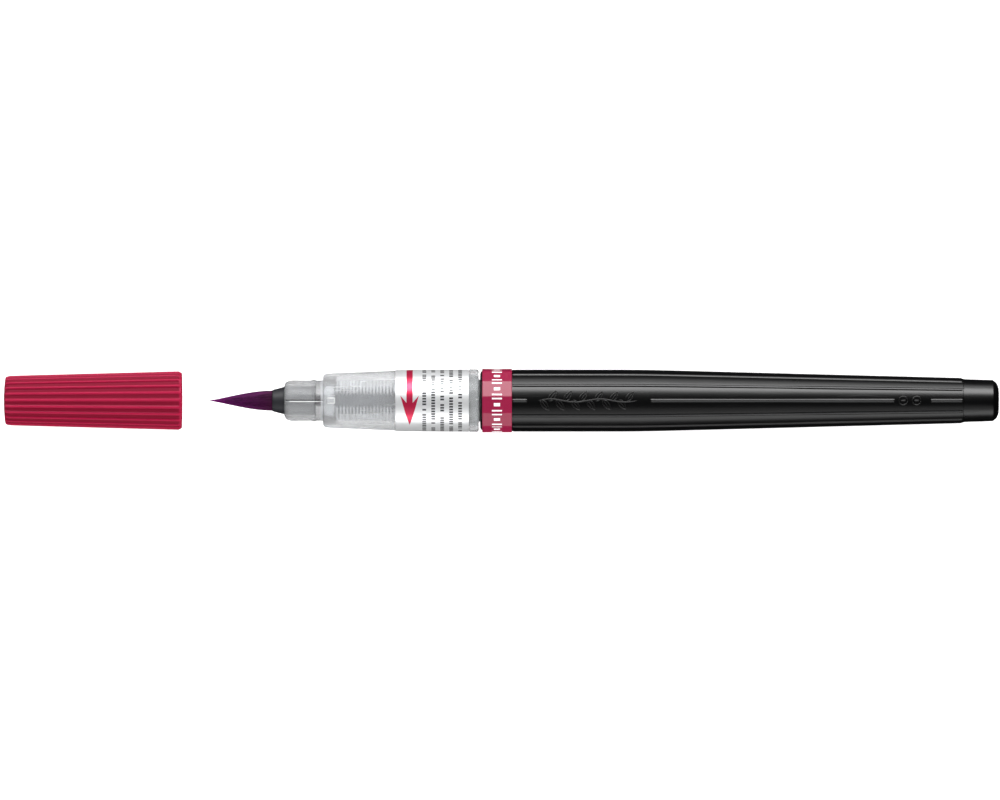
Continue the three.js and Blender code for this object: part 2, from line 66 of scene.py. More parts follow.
TUFT_RADIUS = 1.92
HOLDER_BORE, HOLDER_SHANK = 1.97, 2.27
COLLAR_RADIUS, COLLAR_SKIN, COLLAR_BORE, TAIL_BORE = 4.05, 4.03, 2.95, 3.3
SEAT_FRONT, SEAT_REAR, GRIP_RADIUS = 5.98, 6.10, 6.25
LABEL_INSIDE, LABEL_OUTSIDE = 0.04, 0.13  # distances of the foil's two faces from the label's seat
PLUG_RADIUS, SPIGOT_RADIUS, THREAD_REACH = 5.05, 4.2, 0.48
BARREL_RADIUS, BARREL_WALL, MOUTH_RADIUS = 6.05, 1.0, 4.9
BARREL_TAPER, KNEE, KNEE_BLEND = 0.0259, 63.7, 2.0
RIB_END = BARREL_END - 7.3
RIB_BREAKS = ((40.8, 65.4), (114.2, 121.4))
RIBS, RIB_HALF_WIDTH, RIB_HEIGHT, RIB_RAMP = 12, 0.26, 0.14, 0.35
CAP_CREST, CAP_FALL = 5.87, 0.94  # radius over the ribs at the mouth, and how far it falls to the far end
CAP_RIBS, FLUTE_DEPTH, CAP_TURN = 24, 0.3, np.radians(1.5)
BAND_SIDES, BAND_CORNER, BAND_TURN = 12, 6.4, np.radians(6.9)
BAND_MARKS, ARROW, FIRST_ROW, ROW_PITCH = 34.76, 17.31, 19.34, 1.79  # stations of the printed marks


# -------- outlines
def softened(corners, steps=5):
    """Outline through [station, radius, bend] corners. A quadratic curve replaces each corner, from the
    bend's distance before it to the same distance after it."""
    corners = np.array(corners, float)
    out = [corners[0, :2]]
    for before, here, after in zip(corners[:-2], corners[1:-1], corners[2:]):
        arms = np.array([before[:2] - here[:2], after[:2] - here[:2]])
        lengths = np.linalg.norm(arms, axis=1)
        reach = min(here[2], *(0.48 * lengths))
        if reach < 1e-4:
            out.append(here[:2])
            continue
        start, end = here[:2] + arms / lengths[:, None] * reach
        t = np.linspace(0, 1, steps + 1)[:, None]
        out.extend((1 - t) ** 2 * start + 2 * t * (1 - t) * here[:2] + t**2 * end)
    out.append(corners[-1, :2])
    return np.array(out)


def refined(outline, longest):
    """The same outline with points added along each leg, evenly, so that no leg is longer than the given
    length."""
    pieces = []
    for a, b in zip(outline[:-1], outline[1:]):
        count = max(1, int(np.ceil(np.linalg.norm(b - a) / longest)))
        pieces.append(a + (b - a) * (np.arange(count) / count)[:, None])
    return np.vstack(pieces + [outline[-1:]])


def gathered(places, pull, columns):
    """Angles for a surface's columns: an even angle u, less pull times sin(places * u) / places, so that the
    columns are closest at so many even places."""
    u = np.arange(columns) / columns * TURN
    return u - pull * np.sin(places * u) / places


# -------- surfaces
def on_pen(station, radius, angle):
    """Points in metres: x along the pen, then radius times the sine and cosine of the angle across and up."""
    station, radius, angle = np.broadcast_arrays(station, radius, angle)
    across, up = radius * MM * np.sin(angle), AXIS_Z + radius * MM * np.cos(angle)
    return np.stack([SHOULDER_X + station * MM, across, up], axis=-1)


def grid(points, loop_rows=False, loop_columns=True):
    """Quads between neighbouring points of a grid of rows and columns; either way may close on itself."""
    rows, columns = points.shape[:2]
    index = np.arange(rows * columns).reshape(rows, columns)
    if loop_rows:
        index = np.vstack([index, index[:1]])
    if loop_columns:
        index = np.hstack([index, index[:, :1]])
    a, b, c, d = index[:-1, :-1], index[:-1, 1:], index[1:, 1:], index[1:, :-1]
    return points.reshape(-1, 3), [np.stack([a, b, c, d], -1).reshape(-1, 4)]


def poled(points, faces, columns, poles):
    """A grid of rings with so many columns, closed at each end by a fan of triangles to a pole."""
    count, ring = len(points), np.arange(columns)
    last = count - columns + ring
    first_fan = np.stack([np.full(columns, count), np.roll(ring, -1), ring], -1)
    last_fan = np.stack([np.full(columns, count + 1), last, np.roll(last, -1)], -1)
    return np.vstack([points, poles]), faces + [first_fan, last_fan]


def turned(outline, angles=128, shape=None, mask=None):
    """Surface of revolution of an outline. One that starts and ends on the axis gets a pole at each end; any
    other closes on itself. shape(station, radius, angle) may change the radius over the surface, and mask
    gives a value kept at each point."""
    if np.isscalar(angles):
        angles = np.arange(angles) / angles * TURN
    solid = outline[0, 1] == 0
    rings = outline[1:-1] if solid else outline
    station, radius, angle = np.broadcast_arrays(rings[:, :1], rings[:, 1:], angles[None, :])
    kept = (mask(station, radius, angle) if mask else np.zeros(station.shape)).ravel()
    if shape:
        radius = shape(station, radius, angle)
    points, faces = grid(on_pen(station, radius, angle), loop_rows=not solid)
    if solid:
        points, faces = poled(points, faces, len(angles), on_pen(outline[[0, -1], 0], 0, 0))
        kept = np.append(kept, [kept[0], kept[-1]])
    return outwards(points, faces), kept


def outwards(points, faces):
    """The same surface with its faces turned, if need be, so that the volume it encloses is positive."""
    volume = 0.0
    for face in faces:
        for k in range(1, face.shape[1] - 1):
            a, b, c = points[face[:, 0]], points[face[:, k]], points[face[:, k + 1]]
            volume += np.einsum("ij,ij->i", a, np.cross(b, c)).sum()
    return points, faces if volume > 0 else [face[:, ::-1] for face in faces]


def thread_ridge(start, turns, root, reach, pitch=2.0, columns=96):
    """Left-hand helical ridge: a low hill carried along the helix whose station grows by the pitch for each
    turn that the angle falls by. Its height dies away at both ends."""
    half_width, points_across, edge, floor = 0.37, 9, 0.12, 0.14
    along = np.linspace(0, turns, int(turns * columns))[:, None]
    across = np.linspace(-1, 1, points_across)[None, :]
    hill = np.clip(1.35 - 1.35 * np.abs(across) ** 1.5, 0, 1)
    fade = np.clip(np.minimum(along, turns - along) * 8, 0.02, 1)
    way = np.sign(reach)
    radius = root - way * edge + (reach + way * edge) * hill * fade
    angle = np.pi / 2 - along * TURN
    top = on_pen(start + along * pitch + across * half_width, radius, angle)
    under = on_pen(start + along * pitch + across[:, ::-1] * half_width, root - way * floor, angle)
    points, faces = grid(np.concatenate([top, under], axis=1))
    ring = np.arange(2 * points_across)
    caps = [ring[None, ::-1], (len(points) - 2 * points_across + ring)[None, :]]
    return outwards(points, faces + caps)


def bead(path, width, height, base, across=7):
    """Raised line. path is rows of [station, angle]. The section is a half ellipse of that width and height
    standing on radius base, and its middle follows the path; the ends come to a point."""
    edge, floor, crest = 0.03, 0.05, 0.75
    path = np.asarray(path, float)
    station, angle = path[:, 0], path[:, 1]
    run = np.stack([np.gradient(station), np.gradient(angle) * base], -1)
    run /= np.linalg.norm(run, axis=1, keepdims=True)
    taper = np.sqrt(np.clip(np.sin(np.linspace(0, np.pi, len(path))) * 3, 0.0, 1))[:, None]
    u = np.linspace(-1, 1, across)[None, :]
    side = u * width / 2 * np.maximum(taper, 0.05)
    radius = base + height * np.sqrt(np.clip(1 - u**2, 0, 1)) * taper - edge * (np.abs(u) == 1)
    top = on_pen(station[:, None] - run[:, 1:] * side, radius, angle[:, None] + run[:, :1] * side / base)
    low = on_pen(station, base - floor, angle)[:, None, :]
    points, faces = grid(np.concatenate([top, low], axis=1))
    ring = np.arange(across + 1)
    # the kept value, highest along the bead's middle, places the barrel's painted highlight
    kept = np.append(crest * (1 - u[0] ** 2), 0.0)
    surface = outwards(points, faces + [ring[None, ::-1], (len(points) - across - 1 + ring)[None, :]])
    return surface, np.tile(kept, len(path))


def pad(first, last, half_angle, low, high, count=13):
    """Rounded block on the pen's surface. Over the square of u and v from -1 to 1, the top rises from low as
    a flat-topped hill, by one minus the eighth powers of u and v; the underside is level."""
    u, v = np.meshgrid(np.linspace(-1, 1, count), np.linspace(-1, 1, count), indexing="ij")
    station = (first + last) / 2 + (last - first) / 2 * u
    hill = np.sqrt(np.clip((1 - u**8) * (1 - v**8), 0, 1))
    top = on_pen(station, low + (high - low) * hill, half_angle * v)
    points, faces = grid(top, loop_columns=False)
    floor = on_pen(station, low - 0.05 + 0 * u, half_angle * v)
    more, under = grid(floor, loop_columns=False)
    rim = np.concatenate(
        [np.arange(count) * count, (count - 1) * count + np.arange(1, count),
         np.arange(count - 2, -1, -1) * count + count - 1, np.arange(count - 2, 0, -1)]
    )
    nxt = np.roll(rim, -1)
    side = np.stack([rim, nxt, nxt + count * count, rim + count * count], -1)
    return outwards(np.vstack([points, more]), faces + [under[0][:, ::-1] + count * count, side[:, ::-1]])


# -------- pieces
def piece(name, surfaces, material, body, replaced=(), attribute=None):
    """One object from surfaces, each a (points, faces) pair, or a pair of that and the kept values, as turned
    gives."""
    points, loops, starts, kept = [], [], [], []
    base = start = 0
    for surface in surfaces:
        values = None
        if isinstance(surface[0], tuple):
            surface, values = surface
        here, faces = surface
        points.append(here)
        kept.append(np.zeros(len(here)) if values is None else values)
        for face in faces:
            loops.append((face + base).ravel())
            starts.append(start + np.arange(len(face)) * face.shape[1])
            start += face.size
        base += len(here)
    points, loops, starts = np.vstack(points), np.concatenate(loops), np.concatenate(starts)
    mesh = bpy.data.meshes.new(name)
    mesh.vertices.add(len(points))
    mesh.vertices.foreach_set("co", points.astype(np.float32).ravel())
    mesh.loops.add(len(loops))
    mesh.loops.foreach_set("vertex_index", loops.astype(np.int32))
    mesh.polygons.add(len(starts))
    mesh.polygons.foreach_set("loop_start", starts.astype(np.int32))
    mesh.update(calc_edges=True)
    mesh.validate()
    mesh.shade_smooth()
    if attribute:
        values = np.concatenate(kept).astype(np.float32)
        mesh.attributes.new(attribute, "FLOAT", "POINT").data.foreach_set("value", values)
    mesh.materials.append(material)
    obj = bpy.data.objects.new(name, mesh)
    bpy.context.scene.collection.objects.link(obj)
    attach(obj, body)
    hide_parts(*(replaced or (name,)))
    return obj


# -------- shader tools
def wire(tree, node, **sockets):
    """Give a node's sockets a number, a colour, or another node's output each. A socket is named, with _
    for a space, or numbered after an _."""
    for key, value in sockets.items():
        socket = node.inputs[int(key[1:]) if key[0] == "_" else key.replace("_", " ")]
        if isinstance(value, bpy.types.NodeSocket):
            tree.links.new(value, socket)
        else:
            socket.default_value = value
    return node


def add(tree, kind, settings=None, **sockets):
    """New shader node with its settings and sockets."""
    made = tree.nodes.new("ShaderNode" + kind)
    for key, value in (settings or {}).items():
        setattr(made, key, value)
    return wire(tree, made, **sockets)


def calc(tree, operation, a, b=None, c=None, clamp=False):
    """Result of one Math node."""
    sockets = {f"_{k}": v for k, v in enumerate((a, b, c)) if v is not None}
    return add(tree, "Math", {"operation": operation, "use_clamp": clamp}, **sockets).outputs[0]


def blend(tree, factor, a, b, kind="MIX"):
    """Result of one colour Mix node."""
    settings = {"data_type": "RGBA", "blend_type": kind}
    return add(tree, "Mix", settings, _0=factor, _6=a, _7=b).outputs[2]


def maths(tree):
    """Short forms of Math nodes: any operation, how far a value is from a middle, and masks that all have
    to hold."""
    math = lambda operation, *values: calc(tree, operation, *values)
    far = lambda value, middle: math("ABSOLUTE", math("SUBTRACT", value, middle))

    def every(first, *others):
        for other in others:
            first = math("MULTIPLY", first, other)
        return first

    return math, far, every


def ranged(tree, value, from_low, from_high, to_low, to_high):
    """Result of one clamped Map Range node."""
    ends = {"From_Min": from_low, "From_Max": from_high, "To_Min": to_low, "To_Max": to_high}
    return add(tree, "MapRange", Value=value, **ends).outputs[0]


def noise(tree, scale, detail, stretch=None, turn=(0, 0, 0)):
    """Value of one Noise Texture node on Object coordinates, which may be turned and scaled first, so that
    the noise is drawn out along the smallest scale."""
    where = add(tree, "TexCoord").outputs["Object"]
    if stretch:
        where = add(tree, "Mapping", Vector=where, Rotation=turn, Scale=stretch).outputs[0]
    return add(tree, "TexNoise", Vector=where, Scale=scale, Detail=detail).outputs["Fac"]


def new_group(name, inputs, outputs):
    """Empty node group with named float inputs (name, default) and float outputs."""
    group = bpy.data.node_groups.new(name, "ShaderNodeTree")
    socket = lambda label, way: group.interface.new_socket(label, in_out=way, socket_type="NodeSocketFloat")
    for label, default in inputs:
        socket(label, "INPUT").default_value = default
    for label in outputs:
        socket(label, "OUTPUT")
    return group, group.nodes.new("NodeGroupInput"), group.nodes.new("NodeGroupOutput")


def place_group():
    """Station in millimetres, angle round the pen and arc length at a given radius, from Object
    coordinates."""
    group, given, result = new_group("pen_place", [("Radius", 6.0)], ["Station", "Angle", "Arc"])
    where = add(group, "TexCoord").outputs["Object"]
    split = add(group, "SeparateXYZ", Vector=where)
    station = calc(group, "MULTIPLY", calc(group, "SUBTRACT", split.outputs["X"], SHOULDER_X), 1 / MM)
    up = calc(group, "SUBTRACT", split.outputs["Z"], AXIS_Z)
    angle = calc(group, "ARCTAN2", split.outputs["Y"], up)
    arc = calc(group, "MULTIPLY", angle, given.outputs["Radius"])
    wire(group, result, Station=station, Angle=angle, Arc=arc)
    return group


def plastic_group():
    """Moulded plastic: cloudy tone, fine grain and hair-thin scuffs that mostly run along the pen."""
    group, given, result = new_group(
        "moulded_plastic", [("Grain Scale", 5000.0), ("Scuff Density", 0.5)], ["Tone", "Scuff", "Height"]
    )
    tone = noise(group, 160.0, 3.0)
    grain = noise(group, given.outputs["Grain Scale"], 2.0)
    scuffs = []
    for turn, stretch in ((0.10, (60.0, 2600.0, 2600.0)), (-0.35, (90.0, 1900.0, 1900.0))):
        line = noise(group, 1.0, 1.0, stretch, (0.3, turn, turn))
        scuffs.append(ranged(group, line, 0.64, 0.72, 0.0, 1.0))
    spread = ranged(group, noise(group, 90.0, 2.0), 0.35, 0.7, 0.0, given.outputs["Scuff Density"])
    scuff = calc(group, "MULTIPLY", calc(group, "MAXIMUM", *scuffs), spread)
    height = calc(group, "SUBTRACT", grain, calc(group, "MULTIPLY", scuff, 0.8))
    wire(group, result, Tone=tone, Scuff=scuff, Height=height)
    return group


PLACE, PLASTIC = place_group(), plastic_group()


def new_material(name, **constants):
    """Material with one Principled BSDF; constants go on the shader's own sockets."""
    material = bpy.data.materials.new(name)
    material.use_nodes = True
    tree = material.node_tree
    return material, tree, wire(tree, tree.nodes["Principled BSDF"], **constants)


def grouped(tree, group, **inputs):
    """A node group placed in a material with its own values."""
    return add(tree, "Group", {"node_tree": group}, **inputs)


def bump(tree, shader, height, strength, distance):
    """Bump node on the shader's normal; distance is in metres."""
    made = add(tree, "Bump", Strength=strength, Distance=distance, Height=height)
    wire(tree, shader, Normal=made.outputs[0])


def plastic(name, dark, light, gloss, scuff=0.4, grain=5000.0, relief=2e-6, **constants):
    """Moulded plastic: colour drifts between dark and light with the tone, scuffs are rougher, grain lifts
    the skin."""
    material, tree, shader = new_material(name, **constants)
    skin = grouped(tree, PLASTIC, Grain_Scale=grain, Scuff_Density=scuff)
    colour = blend(tree, skin.outputs["Tone"], (*dark, 1), (*light, 1))
    wire(tree, shader, Base_Color=colour)
    rough = calc(tree, "MULTIPLY_ADD", skin.outputs["Tone"], gloss[1] - gloss[0], gloss[0])
    rough = calc(tree, "ADD", rough, calc(tree, "MULTIPLY", skin.outputs["Scuff"], 0.2), clamp=True)
    wire(tree, shader, Roughness=rough)
    bump(tree, shader, skin.outputs["Height"], 0.4, relief)
    return material, tree, shader, colour, rough


# -------- finishes
def attribute(tree, name):
    """Value kept at the mesh's points."""
    return add(tree, "Attribute", {"attribute_name": name}).outputs["Fac"]


def cap_plastic():
    """Burgundy plastic with painted shade in the flutes, deeper and duller there than on the rib crests."""
    material, tree, shader, colour, rough = plastic(
        "cap_burgundy", (0.30, 0.0065, 0.036), (0.34, 0.009, 0.042), (0.29, 0.35), scuff=0.5,
        Specular_IOR_Level=0.16, Specular_Tint=(1, 0.45, 0.65, 1),
    )
    crest = attribute(tree, "crest")
    # painted shade: the colour is darkened in the flutes
    painted_flute_shade = blend(tree, 1.0, colour, (0.5, 0.32, 0.4, 1), "MULTIPLY")
    colour = blend(tree, crest, painted_flute_shade, colour)
    wire(tree, shader, Base_Color=colour)
    rough = calc(tree, "ADD", rough, ranged(tree, crest, 0.0, 0.8, 0.3, 0.0), clamp=True)
    wire(tree, shader, Roughness=rough)
    return material


def barrel_plastic():
    """Glossy black; the rib crests and relief tops are satin, paler grey by a painted highlight."""
    material, tree, shader, colour, rough = plastic(
        "barrel_black", (0.0007, 0.0007, 0.0008), (0.0015, 0.0015, 0.0017), (0.265, 0.3), scuff=0.5,
        grain=2600.0,
    )
    # painted highlight: the rib crests and relief tops are made paler grey
    crest_painted_highlight = calc(tree, "POWER", attribute(tree, "crest"), 3.0)
    wire(tree, shader, Base_Color=blend(tree, crest_painted_highlight, colour, (0.016, 0.016, 0.0165, 1)))
    rough = calc(tree, "MULTIPLY_ADD", crest_painted_highlight, 0.1, rough, clamp=True)
    wire(tree, shader, Roughness=rough)
    return material


def band_plastic():
    """Satin burgundy with a ring of plain white marks: a pair of bars and a short block in turn. Each has a
    cell of the ring, and the half widths are shares of a cell."""
    material, tree, shader, colour, _ = plastic(
        "band_burgundy", (0.215, 0.0055, 0.036), (0.25, 0.0075, 0.043), (0.27, 0.33), scuff=0.3,
        Specular_IOR_Level=0.42,
    )
    cells, bar_place, half_bar, bar_reach, half_block, block_reach = 24, 0.25, 0.09, 1.0, 0.2, 0.62
    math, far, every = maths(tree)
    place = grouped(tree, PLACE, Radius=BAND_CORNER)
    cell = math("DIVIDE", place.outputs["Arc"], TURN * BAND_CORNER / cells)
    in_cell = far(math("FRACT", cell), 0.5)
    odd = math("FLOORED_MODULO", math("FLOOR", cell), 2.0)
    off = far(place.outputs["Station"], BAND_MARKS)
    pair = every(math("LESS_THAN", far(in_cell, bar_place), half_bar), math("LESS_THAN", off, bar_reach))
    block = every(math("LESS_THAN", in_cell, half_block), math("LESS_THAN", off, block_reach))
    mark = math("ADD", every(block, odd), every(pair, math("SUBTRACT", 1.0, odd)))
    wire(tree, shader, Base_Color=blend(tree, mark, colour, (0.86, 0.84, 0.85, 1)))
    return material


def label_foil():
    """White foil label: a red arrow that comes over the top and points down the near side, its head notched
    behind, and rows of plain grey dashes."""
    material, tree, shader = new_material(
        "label_foil", Metallic=0.64, Roughness=0.33, Coat_Weight=0.4, Coat_Roughness=0.2
    )
    math, far, every = maths(tree)
    place = grouped(tree, PLACE, Radius=(SEAT_FRONT + SEAT_REAR) / 2 + LABEL_OUTSIDE)
    along = place.outputs["Station"]
    down = math("MULTIPLY", place.outputs["Arc"], -1.0)
    side = far(along, ARROW)
    start, barb, point, notch, half_shaft, half_barb = -15.0, -1.0, 5.6, 0.45, 0.62, 1.85
    narrowing = ranged(tree, down, barb, point, half_barb, 0.0)
    back = ranged(tree, side, half_shaft, half_barb, notch, barb)
    head = every(
        math("LESS_THAN", side, narrowing), math("GREATER_THAN", down, back), math("LESS_THAN", down, point)
    )
    shaft = every(
        math("LESS_THAN", side, half_shaft), math("LESS_THAN", down, notch + 0.1),
        math("GREATER_THAN", down, start),
    )
    rows, half_row, dash_pitch, row_shift, gaps, dash_share = 5.0, 0.21, 0.56, 0.37, 0.2, 0.66
    row = math("DIVIDE", math("SUBTRACT", along, FIRST_ROW), ROW_PITCH)
    row_number = math("FLOOR", row)
    line = every(
        math("LESS_THAN", far(math("FRACT", row), 0.5), half_row), math("GREATER_THAN", row, 0.0),
        math("LESS_THAN", row, rows),
    )
    step = math("MULTIPLY_ADD", row_number, row_shift, math("DIVIDE", down, dash_pitch))
    seed = add(tree, "CombineXYZ", X=math("FLOOR", step), Y=row_number)
    chance = add(tree, "TexWhiteNoise", Vector=seed.outputs[0]).outputs["Value"]
    dash = every(math("GREATER_THAN", chance, gaps), math("LESS_THAN", math("FRACT", step), dash_share), line)
    skin = grouped(tree, PLASTIC, Grain_Scale=1400.0, Scuff_Density=0.3)
    paper = blend(tree, skin.outputs["Tone"], (0.84, 0.85, 0.86, 1), (0.90, 0.91, 0.92, 1))
    printed = blend(tree, dash, paper, (0.07, 0.07, 0.075, 1))
    printed = blend(tree, math("MAXIMUM", head, shaft), printed, (0.58, 0.018, 0.07, 1))
    wire(tree, shader, Base_Color=printed)
    bump(tree, shader, skin.outputs["Height"], 0.25, 3e-6)
    return material


def bristle_nylon():
    """Ink-stained nylon: magenta towards the point, deep purple above, with streaks that run along the
    hairs."""
    material, tree, shader = new_material(
        "bristle_nylon", Roughness=0.55, Specular_IOR_Level=0.14, Specular_Tint=(1, 0.45, 0.9, 1)
    )
    place = grouped(tree, PLACE)
    streak = ranged(tree, noise(tree, 1.0, 3.0, (140.0, 5200.0, 5200.0)), 0.35, 0.65, 0.0, 1.0)
    share = ranged(tree, place.outputs["Station"], TIP, HOLDER_FRONT, 0.0, 1.0)
    ramp = add(tree, "ValToRGB", Fac=share)
    stops = [
        (0.0, (0.035, 0.006, 0.03)), (0.07, (0.19, 0.012, 0.16)), (0.2, (0.15, 0.009, 0.13)),
        (0.36, (0.082, 0.0065, 0.078)), (0.75, (0.07, 0.007, 0.058)), (1.0, (0.045, 0.007, 0.03)),
    ]
    elements = ramp.color_ramp.elements
    while len(elements) < len(stops):
        elements.new(0.5)
    for element, (position, colour) in zip(elements, stops):
        element.position, element.color = position, (*colour, 1)
    shaded = blend(tree, 1.0, ramp.outputs[0], (0.5, 0.5, 0.5, 1), "MULTIPLY")
    wire(tree, shader, Base_Color=blend(tree, streak, shaded, ramp.outputs[0]))
    bump(tree, shader, streak, 0.5, 1.5e-5)
    return material


def wick_fibre():
    """Bundled fibre: fine streaks along the rod."""
    material, tree, shader = new_material("wick_fibre", Roughness=0.85)
    streak = noise(tree, 1.0, 2.0, (300.0, 9000.0, 9000.0))
    colour = blend(tree, streak, (0.17, 0.15, 0.17, 1), (0.36, 0.33, 0.36, 1))
    wire(tree, shader, Base_Color=colour)
    bump(tree, shader, streak, 0.6, 2e-5)
    return material


def edge_darkened(tree, shader, colour, most):
    """Clear wall seen edge on: the colour is multiplied by the kept tint with its painted light and shade,
    and by one minus most at the edge, since more of the wall is looked through there."""
    facing = add(tree, "LayerWeight", Blend=0.5).outputs["Facing"]
    shade = blend(tree, ranged(tree, facing, 0.0, 0.9, 0.0, most), (1, 1, 1, 1), (0, 0, 0, 1))
    colour = blend(tree, 1.0, colour, attribute(tree, "tint"), "MULTIPLY")
    wire(tree, shader, Base_Color=blend(tree, 1.0, colour, shade, "MULTIPLY"))


def collar_plastic():
    """Clear, slightly grey plastic, with painted shade in the web behind the sleeve's room, painted light
    in the tail, and a painted shade line and a painted highlight line along the parting."""
    material, tree, shader, colour, _ = plastic(
        "collar_clear", (0.80, 0.81, 0.82), (0.86, 0.87, 0.88), (0.18, 0.24), scuff=0.3, relief=1e-6,
        IOR=1.25, Transmission_Weight=0.86,
    )
    edge_darkened(tree, shader, colour, ranged(tree, attribute(tree, "tint"), 1.0, 1.1, 0.45, 0.05))
    return material


def grip_plastic():
    """Frosted clear plastic: painted light makes it paler over the collar's tail; greyer in the rear ring."""
    material, tree, shader, colour, _ = plastic(
        "grip_frosted", (0.80, 0.81, 0.82), (0.86, 0.87, 0.88), (0.22, 0.26), scuff=0.3, grain=7000.0,
        IOR=1.2, Transmission_Weight=0.86,
    )
    edge_darkened(tree, shader, colour, 0.25)
    return material


def collector_plastic():
    """Pale grey moulding, with painted shade between the fins and along the air slot."""
    material, tree, shader, colour, _ = plastic(
        "collector_grey", (0.72, 0.73, 0.76), (0.80, 0.81, 0.84), (0.3, 0.4)
    )
    # painted shade between the fins and along the air slot
    colour = blend(tree, attribute(tree, "fin_painted_shade"), (0.05, 0.06, 0.08, 1), colour)
    wire(tree, shader, Base_Color=colour)
    return material


CAP_BURGUNDY, BARREL_BLACK, BAND_BURGUNDY = cap_plastic(), barrel_plastic(), band_plastic()
LABEL_FOIL, COLLAR_CLEAR, GRIP_FROSTED = label_foil(), collar_plastic(), grip_plastic()
COLLECTOR_GREY, BRISTLES, WICK = collector_plastic(), bristle_nylon(), wick_fibre()
HOLDER_GREY = plastic(
    "holder_dark_grey", (0.011, 0.0115, 0.014), (0.015, 0.0155, 0.019), (0.45, 0.52), Specular_IOR_Level=0.3
)[0]
LINER_WHITE = plastic("liner_white", (0.72, 0.72, 0.71), (0.8, 0.8, 0.79), (0.35, 0.45))[0]
SLEEVE_GREY = plastic("sleeve_pale_grey", (0.22, 0.23, 0.24), (0.26, 0.27, 0.28), (0.35, 0.45))[0]
SEAL_BLACK = plastic("seal_rubber", (0.012, 0.012, 0.013), (0.02, 0.02, 0.021), (0.55, 0.65))[0]
CONNECTOR_FROSTED = plastic(
    "connector_frosted", (0.26, 0.28, 0.28), (0.34, 0.36, 0.36), (0.3, 0.4), IOR=1.3, Transmission_Weight=0.3
)[0]


# -------- cap
def cap_radius(depth):
    """Radius over the rib crests at a depth from the mouth: it falls evenly."""
    return CAP_CREST - CAP_FALL * depth / (CAP_MOUTH - CAP_END)


def cap_crest(station, radius, angle):
    """One on the rib crests and nought in the flutes, by a raised cosine cut off at nought. Off the ribbed
    skin, on the rim and inside, it is one; it fades out over the domed end."""
    wave = np.clip((np.cos(CAP_RIBS * (angle - CAP_TURN)) + 0.35) / 1.25, 0, 1) ** 1.5
    depth = CAP_MOUTH - station
    skin = np.clip((radius - 3.3) / 0.9, 0, 1) * np.clip((depth - 0.35) / 0.25, 0, 1)
    skin = np.where(radius > cap_radius(depth) - 0.9, skin, 0)
    return 1 - skin * (1 - wave)


def make_cap():
    at = lambda depth: CAP_MOUTH - depth
    dome_radius, dome_rise, seat, room = 4.2, 0.22, 4.8, 3.53
    dome = np.linspace(0, dome_radius, 9)
    domed = np.stack([CAP_END + dome_rise * (dome / dome_radius) ** 2, dome], -1)
    outside = softened([
        (CAP_END + dome_rise, dome_radius, 0), (CAP_END + 0.34, 4.74, 0.25),
        (CAP_END + 1.2, cap_radius(34.4), 0.4), (at(0.66), cap_radius(0.66), 0.12), (at(0.04), 5.55, 0.08),
        (CAP_MOUTH, 5.4, 0.06), (CAP_MOUTH, 5.05, 0.1), (at(0.25), seat, 0.1), (at(9.35), seat, 0.2),
        (at(10.35), room, 0.3), (at(33.0), room, 0.8), (at(34.0), room - 1, 0.5), (at(34.0), 0, 0),
    ])
    shell = turned(
        refined(np.vstack([domed, outside[1:]]), 1.6), CAP_RIBS * 16,
        lambda s, r, a: r - FLUTE_DEPTH * (1 - cap_crest(s, r, a)), cap_crest,
    )
    piece("cap_shell", [shell], CAP_BURGUNDY, "cap", attribute="crest")
    inner, wall = at(span("cap_liner")[0]), 0.4
    liner = softened([
        (at(inner), 0, 0), (at(inner), 3.43, 0.8), (at(9.95), 3.43, 0.3), (at(8.95), 4.7, 0.3),
        (at(0.8), 4.7, 0.05), (at(0.8), 4.45, 0.05), (at(1.2), 4.3, 0.1), (at(8.15), 4.3, 0.3),
        (at(9.15), 3.03, 0.3), (at(inner - 1.4), 3.03, 0.6), (at(inner - wall), 2.03, 0.5),
        (at(inner - wall), 0, 0),
    ])
    piece("cap_liner", [turned(refined(liner, 2.0), 96)], LINER_WHITE, "cap")


# -------- brush
def untinted(station, radius, angle):
    """Tint of one all over."""
    return np.ones(station.shape)


def tuft_radius(station):
    """Radius of the tuft: a quarter of a sine, from nought at the tip to full at the holder."""
    share = np.clip((station - TIP) / (HOLDER_FRONT - TIP), 0, 1)
    return TUFT_RADIUS * np.sin(np.pi / 2 * share**1.2)


def hair_bundle(count, rows=14, seed=3):
    """Thin tapered hairs, each a three-sided tube from the holder to its own end near the point. A hair
    keeps its share of the tuft's radius and its angle, apart from a slow sway."""
    thickness, sunk = 0.075, 0.3
    random = np.random.default_rng(seed)
    share = np.linspace(0, 1, rows)[None, :]
    depth = (0.93 + 0.085 * random.random(count))[:, None]
    start = random.random(count)[:, None] * TURN
    end = TIP + (HOLDER_FRONT - TIP) * (0.02 + 0.5 * random.random(count) ** 2.2)[:, None]
    station = (HOLDER_FRONT + sunk) + (end - HOLDER_FRONT - sunk) * share
    waves = share * (2 + 3 * random.random(count)[:, None])
    sway = 0.06 * np.sin(waves + random.random(count)[:, None] * TURN)
    angle = start + sway * share
    middle = on_pen(station, tuft_radius(station) * depth, angle)
    thick = (thickness * (1 - share**2 * 0.8) * MM)[..., None] * np.ones((count, 1, 1))
    out = (on_pen(station, 1.0, angle) - on_pen(station, 0.0, angle)) / MM
    around = np.stack([np.zeros_like(out[..., 0]), out[..., 2], -out[..., 1]], -1)
    turns = np.array([0, TURN / 3, 2 * TURN / 3])
    tube = np.stack([middle + thick * (out * np.cos(t) + around * np.sin(t)) for t in turns], axis=2)
    index = np.arange(count * rows * 3).reshape(count, rows, 3)
    nxt = np.roll(index, -1, axis=2)
    quads = np.stack([index[:, :-1], nxt[:, :-1], nxt[:, 1:], index[:, 1:]], -1).reshape(-1, 4)
    ends = np.concatenate([index[:, 0, ::-1], index[:, -1]])
    return outwards(tube.reshape(-1, 3), [quads, ends])


